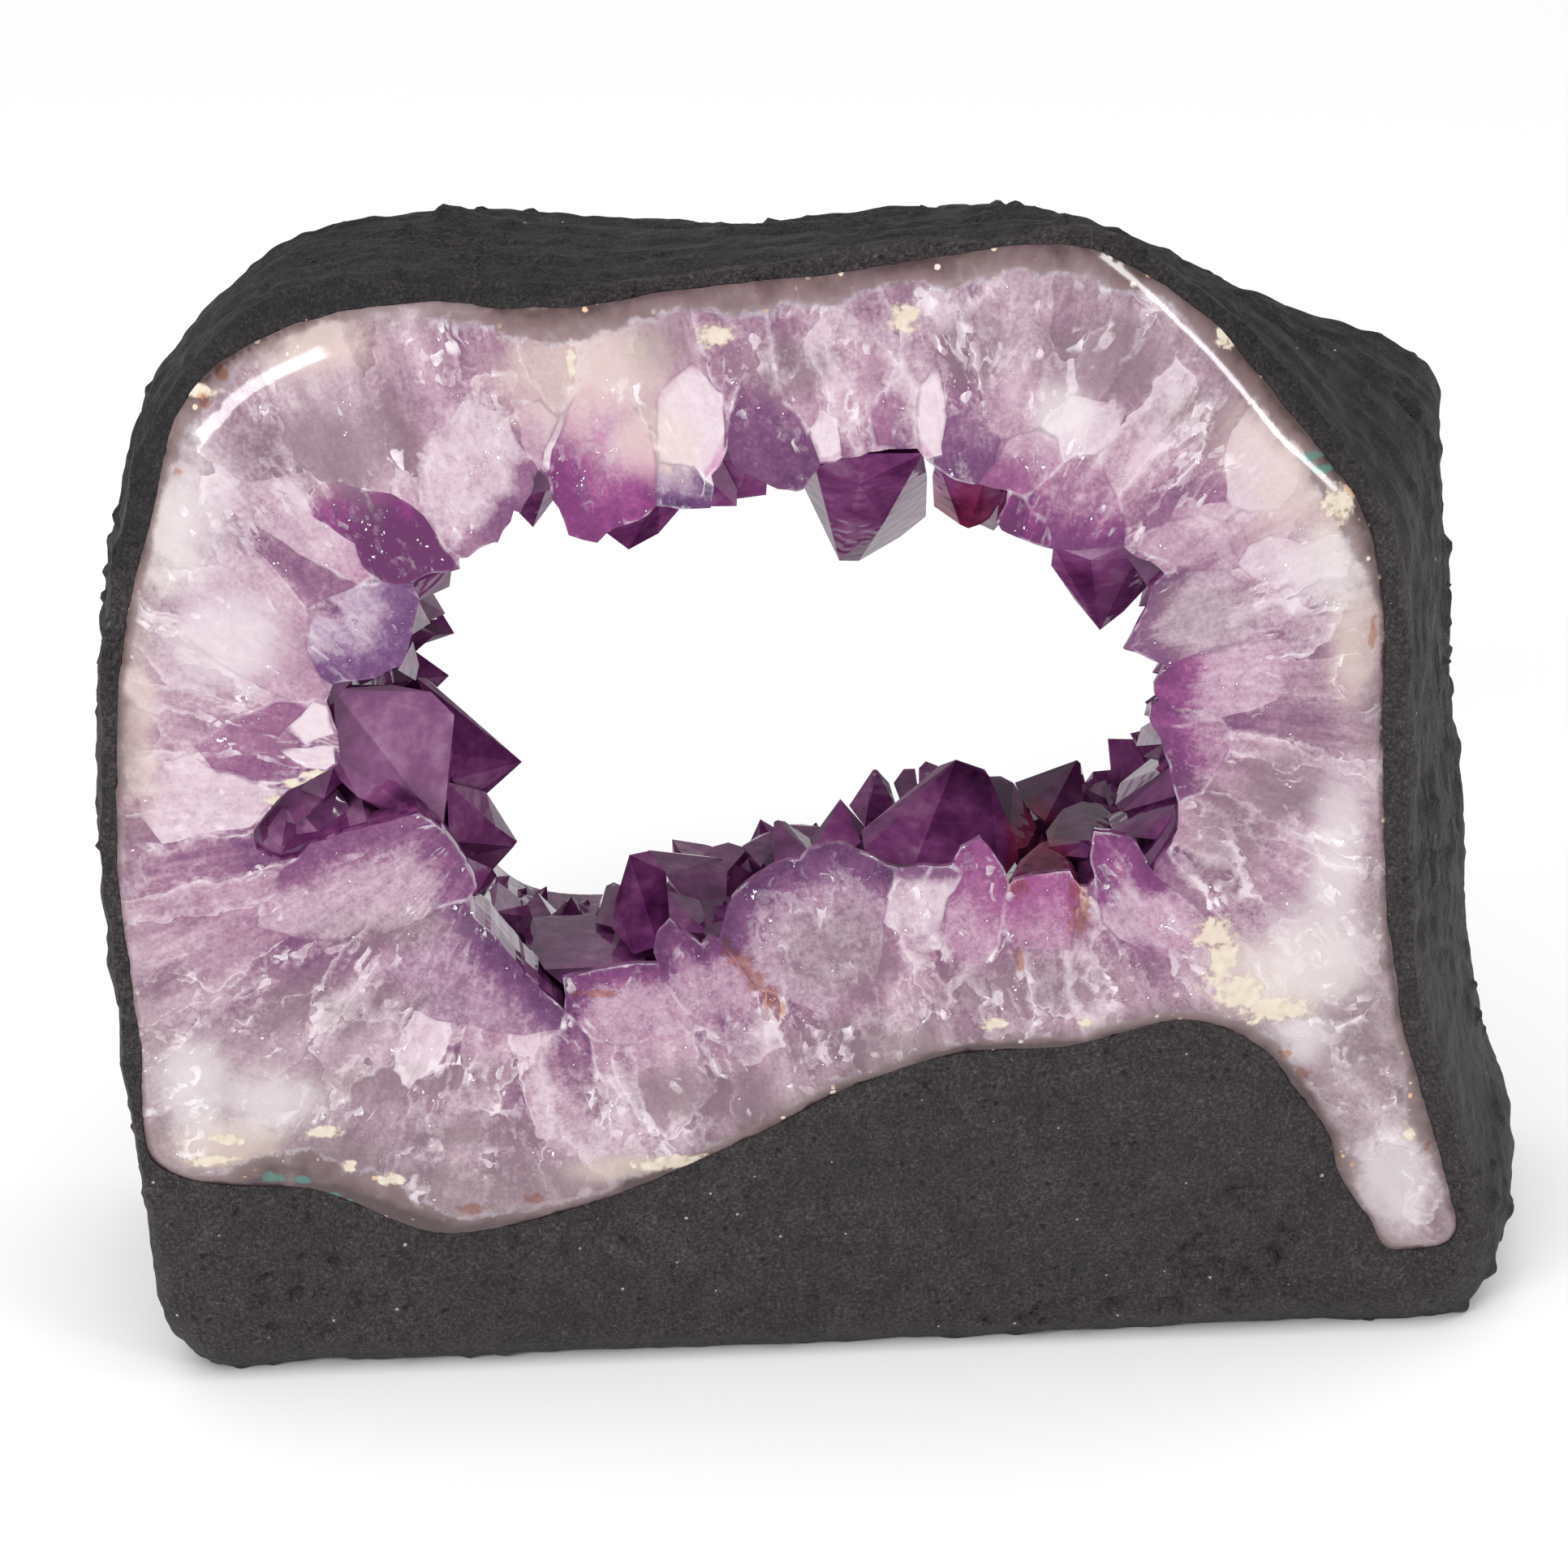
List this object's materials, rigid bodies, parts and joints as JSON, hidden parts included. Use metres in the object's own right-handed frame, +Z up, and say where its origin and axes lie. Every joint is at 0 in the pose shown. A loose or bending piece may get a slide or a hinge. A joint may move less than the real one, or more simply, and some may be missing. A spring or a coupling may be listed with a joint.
{
  "type": "amethyst geode portal",
  "caption": "Standing slice of amethyst geode, polished at the front, with a crystal-lined hole right through and a flat-footed dark cement casing.",
  "frame": {"origin": "centre of the object's box, on the surface that it stands on", "axes": "+Z up, -Y out of the polished front face, +X to the right as seen from the front"},
  "size_m": [0.3695, 0.1, 0.2977],
  "materials": {
    "amethyst": "translucent quartz, polished where it is sawn, glossy natural faces in the hole",
    "cement": "matte charcoal paint on cast cement, rough on top and flanks, smoother on the foot"
  },
  "bodies": {
    "root": {"amethyst_druse": "amethyst", "cement_casing": "cement"}
  },
  "joints": []
}
